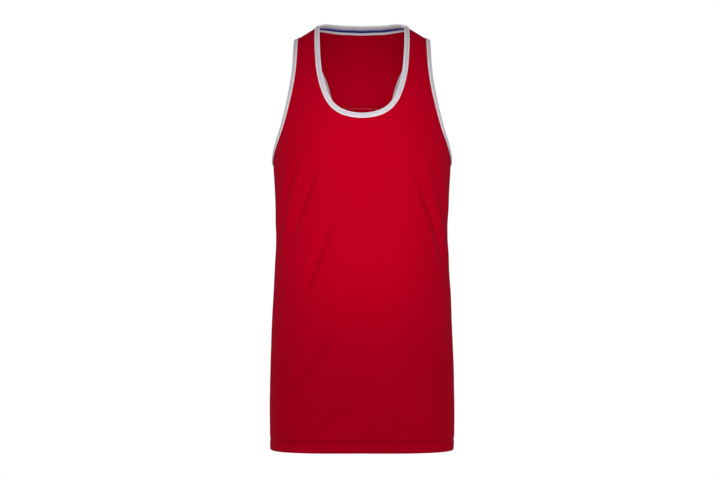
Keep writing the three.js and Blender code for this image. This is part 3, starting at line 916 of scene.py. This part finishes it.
def at_distances(distances, run, values):
    """The values of a line at these distances along it."""
    return np.stack([np.interp(distances, run, column) for column in values.T], 1)


def stitch_row(name, lines, pitch, length, thick):
    """Stitches along lines, each (points, directions out of the cloth, whether it is a ring)."""
    parts = []
    for points, out, ring in lines:
        if ring:
            points, out = (np.concatenate([v, v[:1]]) for v in (points, out))
        run = np.concatenate([[0], np.cumsum(np.linalg.norm(np.diff(points, axis=0), axis=1))])
        count = max(1, round(run[-1] / pitch))
        middles = (np.arange(count) + 0.5) * run[-1] / count
        place, up = at_distances(middles, run, points), at_distances(middles, run, out)
        ahead = at_distances(middles + EITHER_SIDE * pitch, run, points)
        behind = at_distances(middles - EITHER_SIDE * pitch, run, points)
        along = unit(ahead - behind)
        up = unit(up - (up * along).sum(1, keepdims=True) * along)
        aside = np.cross(up, along)
        half = stitch_points * (length / 2, thick / 2, thick / 2)
        made = (
            place[:, None]
            + half[None, :, :1] * along[:, None]
            + half[None, :, 1:2] * aside[:, None]
            + half[None, :, 2:] * up[:, None]
        )
        parts.append(made.reshape(-1, 3))
    verts = np.concatenate(parts)
    starts = np.arange(0, len(verts), len(stitch_points))
    faces = (starts[:, None, None] + stitch_faces[None]).reshape(-1, 4)
    mesh = bpy.data.meshes.new(name)
    mesh.from_pydata(verts.tolist(), [], [list(dict.fromkeys(f)) for f in faces.tolist()])
    mesh.update()
    obj = new_object(name, mesh)
    face_outwards(obj)
    activate(obj)
    bpy.ops.object.shade_smooth()
    print(name, len(starts), "stitches")
    return obj


# %% Topstitches on the bindings
TOPSTITCH = dict(pitch=3.0 * MM, length=2.5 * MM, thick=0.55 * MM)
STITCH_LINE = 6.6 * MM  # from a binding's fold
OUTER_DENT, INNER_DENT = 1.1 * MM, -2.1 * MM  # the binding's surface in the dent on either leg

stitches = {}
for place, rail in rails.items():
    stitches[place] = stitch_row(
        place + "_topstitches",
        [
            (rail.at(STITCH_LINE, OUTER_DENT), rail.out, True),
            (rail.at(STITCH_LINE, INNER_DENT), -rail.out, True),
        ],
        **TOPSTITCH,
    )

# %% [markdown]
# The other rows lie on cloth that has been creased, so their lines are found on it: the hem's
# by looking at the vest from all round, and the tape's and the patch's as the places on the
# piece that are nearest to a plain line before it.

# %% Hem stitches
TWIN_NEEDLE = dict(pitch=3.2 * MM, length=2.8 * MM, thick=0.5 * MM)
RING_POINTS = 400  # each where a ray from a metre away meets the cloth


def tree_of(*objs):
    bm = bmesh.new()
    for obj in objs:
        bm.from_mesh(obj.data)
    tree = BVHTree.FromBMesh(bm)
    bm.free()
    return tree


def ring_round(tree, height):
    """A ring on the outside of the vest at one height."""
    points, out = [], []
    for turn in np.linspace(0, 2 * math.pi, RING_POINTS, endpoint=False):
        away = Vector((math.sin(turn), -math.cos(turn), 0))
        point, normal, _, _ = tree.ray_cast(Vector((0, 0, HEM + height)) + away, -away)
        points.append(point)
        out.append(normal)
    return np.array(points), np.array(out), True


both_panels = tree_of(front, back)
stitches["hem"] = stitch_row(
    "hem_stitches", [ring_round(both_panels, height) for height in HEM_STITCHES], **TWIN_NEEDLE
)

# %% Stitches of the tape
TAPE_ROWS = (1.3, TAPE_WIDTH - 1.3)  # mm from the tape's edge, where its section dips
BEFORE_TAPE = -2.9 * MM  # in the hollow, just off the tape's face


def line_on(tree, points):
    """The points' nearest places on a piece, with its normals there."""
    found = [tree.find_nearest(Vector(point))[:2] for point in points]
    return (np.array(v) for v in zip(*found, strict=True))


tape_surface = tree_of(tape)
stitches["tape"] = stitch_row(
    "tape_stitches",
    [
        (*line_on(tape_surface, back_neck.at((TAPE_STARTS + row) * MM, BEFORE_TAPE)), False)
        for row in TAPE_ROWS
    ],
    **TOPSTITCH,
)

# %% Stitches of the patch
PATCH_MARGIN = 1.5 * MM
CORNER_LAP = 0.5 * MM  # by which the top row runs past the corner where the sewing ended
BEFORE_PATCH = 5 * MM  # in the hollow too
ROW_POINTS = 20

patch_surface = tree_of(patch)
low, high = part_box("back_patch")
left, right = low.x + PATCH_MARGIN, high.x - PATCH_MARGIN
foot, top = low.z + PATCH_MARGIN, high.z - PATCH_MARGIN
lines = []
for start, end in [
    ((left, foot), (right, foot)),
    ((right, foot), (right, top)),
    ((right + CORNER_LAP, top), (left, top)),
    ((left, top), (left, foot)),
]:
    share = np.linspace(0, 1, ROW_POINTS)[:, None]
    x, z = ((1 - share) * start + share * np.array(end)).T
    near = np.c_[x, np.full(ROW_POINTS, low.y - BEFORE_PATCH), z]
    lines.append((*line_on(patch_surface, near), False))
stitches["patch"] = stitch_row("patch_stitches", lines, **TOPSTITCH)

# %% [markdown]
# ## Materials
# Every piece here is polyester, and what tells them apart is how the yarn was worked. Colours
# are written as screen values and turned to linear light by one function, and one more function
# adds a node. A pattern reads the UV map, which is in metres, so its scale is the thread's own,
# or as near to it as can be seen.

# %% Material helpers
# what a Math node works out
ADD, SUBTRACT = {"operation": "ADD"}, {"operation": "SUBTRACT"}
TIMES, DIVIDE = {"operation": "MULTIPLY"}, {"operation": "DIVIDE"}
TIMES_AND_ADD = {"operation": "MULTIPLY_ADD"}
FRACTION, SIZE = {"operation": "FRACT"}, {"operation": "ABSOLUTE"}
SINE, ABOVE = {"operation": "SINE"}, {"operation": "GREATER_THAN"}
OF_COLOURS = {"data_type": "RGBA"}  # for a Mix node


def linear(hex_colour):
    """The linear colour of an sRGB hex value, with full alpha."""
    shares = [int(hex_colour[k : k + 2], 16) / 255 for k in (1, 3, 5)]
    return (*(s / 12.92 if s < 0.04045 else ((s + 0.055) / 1.055) ** 2.4 for s in shares), 1)


def node(tree, kind, settings=(), inputs=()):
    """Adds a node with its settings. An input is a value, an output, or a node with one output."""
    made = tree.nodes.new("ShaderNode" + kind)
    for name, value in dict(settings).items():
        setattr(made, name, value)
    for name, value in inputs.items() if isinstance(inputs, dict) else enumerate(inputs):
        if isinstance(value, bpy.types.Node):
            value = value.outputs[0]
        if isinstance(value, bpy.types.NodeSocket):
            tree.links.new(value, made.inputs[name])
        else:
            made.inputs[name].default_value = value
    return made


def new_material(name, shader_inputs):
    """A material with one Principled shader. Returns it, its node tree and the shader."""
    material = bpy.data.materials.new(name)
    material.use_nodes = True
    tree = material.node_tree
    shader = tree.nodes["Principled BSDF"]
    for socket, value in shader_inputs.items():
        shader.inputs[socket].default_value = value
    return material, tree, shader


def strip_places(tree):
    """The UV map's u and v, in millimetres."""
    split = node(tree, "SeparateXYZ", inputs=[node(tree, "UVMap")])
    return [node(tree, "Math", DIVIDE, [split.outputs[k], MM]) for k in (0, 1)]


print("screen grey #808080 is", f"{linear('#808080')[0]:.3f} in linear light")

# %% [markdown]
# **Interlock knit.** The panels are a fine double knit of filament yarn, dyed a deep red. Its
# loops stand in columns about 1 mm apart, which give the cloth a faint grain down its length.
# They are drawn 2 mm apart so that they show at all. The knit looks soft and nearly matt. What
# sheen and gloss it has are weak and tinted by the dye, because light goes a little way into
# the yarn before it comes back.

# %% Red interlock knit
WALE, COURSE = 2.0, 1.6  # mm between columns of loops and between rows, twice the real size
LEG_SLANT = 1.2  # how steeply a loop's two legs lean apart
LEG_SHARE, FURROW_SHARE = 0.4, 0.6  # of the relief: the legs, and the furrows between columns
red_knit, tree, shader = new_material(
    "red_polyester_interlock_knit",
    {
        "Roughness": 0.85,
        "Specular IOR Level": 0.06,
        "Specular Tint": linear("#ff0060"),
        "Sheen Weight": 0.06,
        "Sheen Roughness": 0.45,
        "Sheen Tint": linear("#ff0070"),
    },
)
u, v = strip_places(tree)
column = node(tree, "Math", FRACTION, [node(tree, "Math", DIVIDE, [u, WALE])])
from_middle = node(tree, "Math", SIZE, [node(tree, "Math", SUBTRACT, [column, 0.5])])
row = node(tree, "Math", DIVIDE, [v, COURSE])
slant = node(tree, "Math", TIMES_AND_ADD, [from_middle, LEG_SLANT, row])
leg = node(tree, "Math", SINE, [node(tree, "Math", TIMES, [slant, 2 * math.pi])])
furrow = node(tree, "Math", SINE, [node(tree, "Math", TIMES, [from_middle, 4 * math.pi])])
furrows = node(tree, "Math", TIMES, [furrow, FURROW_SHARE])
loops = node(tree, "Math", TIMES_AND_ADD, [leg, LEG_SHARE, furrows])
place = node(tree, "TexCoord").outputs["Object"]
slub = node(tree, "TexNoise", inputs={"Vector": place, "Scale": 9.0, "Detail": 3.0})
dyes = {"A": linear("#ad001c"), "B": linear("#b40020")}
shade = node(tree, "Mix", OF_COLOURS, {0: slub.outputs[0], **dyes})
tree.links.new(shade.outputs["Result"], shader.inputs["Base Color"])
bump = node(tree, "Bump", inputs={"Strength": 0.25, "Distance": 0.1 * MM, "Height": loops})
tree.links.new(bump.outputs[0], shader.inputs["Normal"])
print(red_knit.name, "has", len(tree.nodes), "nodes")

# %% [markdown]
# ** Ribbed binding.** The white strip is a narrow rib knit of textured yarn, thick and soft
# enough for light to spread inside it. Its colour is painted whiter at the edges and the fold,
# as painted highlight, and greyer on the legs between them, as painted shade.

# %% White ribbed binding
RIB = 1.6  # mm from rib to rib
LOOP = 1.1  # mm from loop to loop along a rib
COLOURS_RUN = 26.0  # mm round the section. The strip's far edge comes a little before that.
white_rib, tree, shader = new_material(
    "white_polyester_rib_binding",
    {
        "Roughness": 0.8,
        "Specular IOR Level": 0.3,
        "Subsurface Weight": 0.6,
        "Subsurface Radius": (1, 1, 1),
        "Subsurface Scale": 3 * MM,
    },
)
u, v = strip_places(tree)
# The colour across the strip is painted light: whiter at the edges and the fold as painted
# highlight, grey on the legs as painted shade.
tint = node(tree, "ValToRGB", inputs=[node(tree, "Math", DIVIDE, [v, COLOURS_RUN])])
highlight_and_shade_stops = [
    (0.0, "#f6f8fa"), (0.075, "#eef2f4"), (0.13, "#d6cedb"), (0.27, "#d2c8d4"),
    (0.34, "#dfdde4"), (0.42, "#f4f7f8"), (0.52, "#f1f4f6"), (0.62, "#dcd8e0"),
    (0.85, "#d9d3dd"), (1.0, "#eff1f4"),
]  # fmt: skip
ramp = tint.color_ramp
ramp.elements[0].color, ramp.elements[1].color = linear(highlight_and_shade_stops[0][1]), linear(highlight_and_shade_stops[-1][1])
for share, colour in highlight_and_shade_stops[1:-1]:
    ramp.elements.new(share).color = linear(colour)
tree.links.new(tint.outputs[0], shader.inputs["Base Color"])
rib = node(tree, "Math", SINE, [node(tree, "Math", TIMES, [u, 2 * math.pi / RIB])])
loop = node(tree, "Math", SINE, [node(tree, "Math", TIMES, [v, 2 * math.pi / LOOP])])
height = node(tree, "Math", TIMES_AND_ADD, [loop, 0.5, rib])
bump = node(tree, "Bump", inputs={"Strength": 0.35, "Distance": 0.15 * MM, "Height": height})
tree.links.new(bump.outputs[0], shader.inputs["Normal"])
print(white_rib.name, "has", len(tree.nodes), "nodes")

# %% [markdown]
# **Striped tape.** A twill-woven tape with a navy stripe between two white ones. The upper
# white stripe is hidden under the binding. Twill shows as fine slanting lines, drawn coarser
# than the real ones so that they show.

# %% Striped twill tape
NAVY_STRIPE = (0.0, 6.5)  # mm from the tape's top edge
TWILL = 0.9  # mm from line to line
RAGGED = 0.08  # mm by which the twill steps the stripe's edges
tape_twill, tree, shader = new_material(
    "striped_polyester_twill_tape",
    {"Roughness": 0.7, "Specular IOR Level": 0.3, "Sheen Weight": 0.05},
)
u, v = strip_places(tree)
slant = node(tree, "Math", DIVIDE, [node(tree, "Math", ADD, [u, v]), TWILL])
twill = node(tree, "Math", SINE, [node(tree, "Math", TIMES, [slant, 2 * math.pi])])
ragged = node(tree, "Math", TIMES_AND_ADD, [twill, RAGGED, v])
below_top = node(tree, "Math", ABOVE, [ragged, NAVY_STRIPE[0]])
above_foot = node(tree, "Math", ABOVE, [NAVY_STRIPE[1], ragged])
stripe = node(tree, "Math", TIMES, [below_top, above_foot])
yarns = {"A": linear("#eceef2"), "B": linear("#1b2f8c")}
colour = node(tree, "Mix", OF_COLOURS, {0: stripe, **yarns})
tree.links.new(colour.outputs["Result"], shader.inputs["Base Color"])
bump = node(tree, "Bump", inputs={"Strength": 0.3, "Distance": 0.1 * MM, "Height": twill})
tree.links.new(bump.outputs[0], shader.inputs["Normal"])
print(tape_twill.name, "has", len(tree.nodes), "nodes")

# %% [markdown]
# **Sewing thread.** Spun polyester thread is two plies twisted together, so each stitch carries
# a fine slanting line.

# %% Threads
TWISTS = 1200.0  # scale of the wave, whose lines are then about 0.3 mm apart


def thread(name, colour, tint):
    material, tree, shader = new_material(
        name,
        {
            "Base Color": linear(colour),
            "Roughness": 0.6,
            "Specular IOR Level": 0.3,
            "Specular Tint": linear(tint),
        },
    )
    place = node(tree, "TexCoord").outputs["Object"]
    lines = {"Vector": place, "Scale": TWISTS, "Distortion": 0.5}
    twist = node(tree, "TexWave", {"bands_direction": "DIAGONAL"}, lines)
    relief = {"Strength": 0.3, "Distance": 0.05 * MM, "Height": twist.outputs[0]}
    bump = node(tree, "Bump", inputs=relief)
    tree.links.new(bump.outputs[0], shader.inputs["Normal"])
    print(name)
    return material


# The hem's thread is red, and it is darker than the knit as painted shade, standing in for the
# shadow in the hem's stitched groove.
red_thread_darkened_as_shade = thread("red_polyester_thread_darkened_as_shade", "#80000e", "#ff0048")
white_thread = thread("white_polyester_thread", "#eceef0", "#ffffff")
beige_thread = thread("beige_polyester_thread", "#d8a090", "#ffffff")

# %% [markdown]
# Each piece now gets its finish. Thread is matched to the cloth that it is sewn through, apart
# from the patch, whose pale thread shows its outline. The hem's red thread is darker than the
# knit, as painted shade in the hem's groove.

# %% Finishes on the pieces
finishes = {
    red_knit: [front, back, patch],
    white_rib: [*trims.values()],
    tape_twill: [tape],
    red_thread_darkened_as_shade: [stitches["hem"]],
    white_thread: [stitches[k] for k in (*rails, "tape")],
    beige_thread: [stitches["patch"]],
}
for material, objs in finishes.items():
    for obj in objs:
        obj.data.materials.clear()
        obj.data.materials.append(material)
    print(material.name, "on", [obj.name for obj in objs])

# %% [markdown]
# ## Floor
# The vest hangs over a round pale floor, a painted board whose edge is a little rounded. It is
# a primitive with a bevel, because it isn't part of the vest.

# %% Floor
FLOOR = HEM - 250 * MM  # its height
FLOOR_RADIUS, FLOOR_THICKNESS = 1.5, 0.02
bpy.ops.object.select_all(action="DESELECT")
bpy.ops.mesh.primitive_cylinder_add(
    vertices=96,
    radius=FLOOR_RADIUS,
    depth=FLOOR_THICKNESS,
    location=(0, 0, FLOOR - FLOOR_THICKNESS / 2),
)
floor = bpy.context.object
floor.name = "floor"
bpy.ops.object.transform_apply(location=True)
bevel = floor.modifiers.new("edge", "BEVEL")
bevel.width, bevel.segments, bevel.limit_method = 6 * MM, 3, "ANGLE"
bpy.ops.object.modifier_apply(modifier=bevel.name)
bpy.ops.object.shade_smooth_by_angle()
pale_floor, tree, shader = new_material("pale_painted_board", {"Roughness": 0.9})
place = node(tree, "TexCoord").outputs["Object"]
grain = node(tree, "TexNoise", inputs={"Vector": place, "Scale": 40.0, "Detail": 4.0})
paints = {"A": linear("#dedede"), "B": linear("#e6e6e5")}
paint = node(tree, "Mix", OF_COLOURS, {0: grain.outputs[0], **paints})
tree.links.new(paint.outputs["Result"], shader.inputs["Base Color"])
floor.data.materials.append(pale_floor)
print("floor", f"{-FLOOR:.2f} m below the shoulders")

# %% [markdown]
# ## Light
# A softbox in front, helped by a wide spot with a soft edge, puts the broad light on the chest,
# which fades towards the hem. A weak softbox above reaches the straps and the inside of the
# back. Two long fills in front keep the lower sides from going black, and two rims behind draw
# a thin light along the side edges. The last softbox lights the back, which the front view
# doesn't show. The world is white to the camera and lights little itself.

# %% Softboxes
SOFTBOXES = {
    # name: (place, aim, width, height, watts)
    "key": ((0.03, -1.6, -0.2), (0, 0, -0.33), 0.6, 0.4, 6.9),
    "top": ((0, -0.8, 0.6), (0, 0.04, 0), 0.4, 0.3, 2.9),
    "left_fill": ((1.1, -1.0, -0.5), (0, 0, -0.5), 0.6, 1.0, 3.6),
    "right_fill": ((-1.1, -1.0, -0.5), (0, 0, -0.5), 0.6, 1.0, 3.6),
    "left_rim": ((1.9, 0.9, -0.3), (0, 0, -0.4), 0.8, 1.4, 6),
    "right_rim": ((-1.9, 0.9, -0.3), (0, 0, -0.4), 0.8, 1.4, 7),
    "back": ((0, 2.2, 0.5), (0, 0, -0.35), 1.4, 1.0, 24),
}


def hang_light(name, kind, place, aim, watts):
    """A light at a place, turned to its aim and out of the camera's sight."""
    lamp = bpy.data.objects.new(name, bpy.data.lights.new(name, kind))
    bpy.context.scene.collection.objects.link(lamp)
    lamp.data.energy = watts
    lamp.location = place
    lamp.rotation_euler = (Vector(aim) - Vector(place)).to_track_quat("-Z", "Y").to_euler()
    lamp.visible_camera = False
    print(name, watts, "watts")
    return lamp


for name, (place, aim, width, height, watts) in SOFTBOXES.items():
    light = hang_light(name, "AREA", place, aim, watts).data
    light.shape, light.size, light.size_y = "RECTANGLE", width, height

# %% [markdown]
# The spot's cone is set by how far it reaches from the middle of the chest. A large blend makes
# its edge melt away.

# %% Spot and world
SPOT = dict(place=(0, -1.6, -0.25), aim=(0, 0, -0.31), watts=35)
SPOT_REACH = 0.32  # metres from the middle of the chest
spot = hang_light("chest_spot", "SPOT", **SPOT).data
spot.spot_size = 2 * math.atan(SPOT_REACH / -SPOT["place"][1])
spot.spot_blend = 0.75
spot.shadow_soft_size = 0.12

WORLD_LIGHT = 0.11  # its strength to all but the camera
world = bpy.data.worlds.new("studio")
bpy.context.scene.world = world
world.use_nodes = True
tree = world.node_tree
seen = node(tree, "LightPath").outputs["Is Camera Ray"]
strength = node(tree, "Math", TIMES_AND_ADD, [seen, 1 - WORLD_LIGHT, WORLD_LIGHT])
background = tree.nodes["Background"]
background.inputs["Color"].default_value = (1, 1, 1, 1)
tree.links.new(strength.outputs[0], background.inputs["Strength"])
bpy.context.scene.view_settings.view_transform = "Standard"
print("world lights by", WORLD_LIGHT)

# %% [markdown]
# ## Into the frame
# Each piece rides on the one body. A cloth piece also hides the plain solid that it stands for.

# %% Tie the pieces to the frame
stands_for = {
    front: ("front_panel", "red_knit"),
    back: ("back_panel", "red_knit"),
    patch: ("back_patch", "red_knit"),
    tape: ("neck_tape", "striped_tape"),
    trims["neck"]: ("neck_binding", "white_binding"),
    trims["left_armhole"]: ("left_armhole_binding", "white_binding"),
    trims["right_armhole"]: ("right_armhole_binding", "white_binding"),
}
for obj, (solid, finish) in stands_for.items():
    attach(obj, "root")
    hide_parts(solid)
    print(obj.name, "stands for", solid)
for obj in stitches.values():
    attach(obj, "root")

# %% [markdown]
# The size that each panel and the patch were cut to is read back from its unwrapping. The size
# is checked against the piece's own area.

for obj, goes_with in ((front, [stitches["hem"]]), (back, [])):
    width, length, area = cuts[obj]
width, length, area = cuts[patch]
print(len(stands_for), "sheets declared")

# %% [markdown]
# ## Size
# The finished vest must keep the frame's size, so the frame's box is written out.

# %% Size
print("cad   ", [[round(x / MM, 1) for x in c] for c in cad_box])
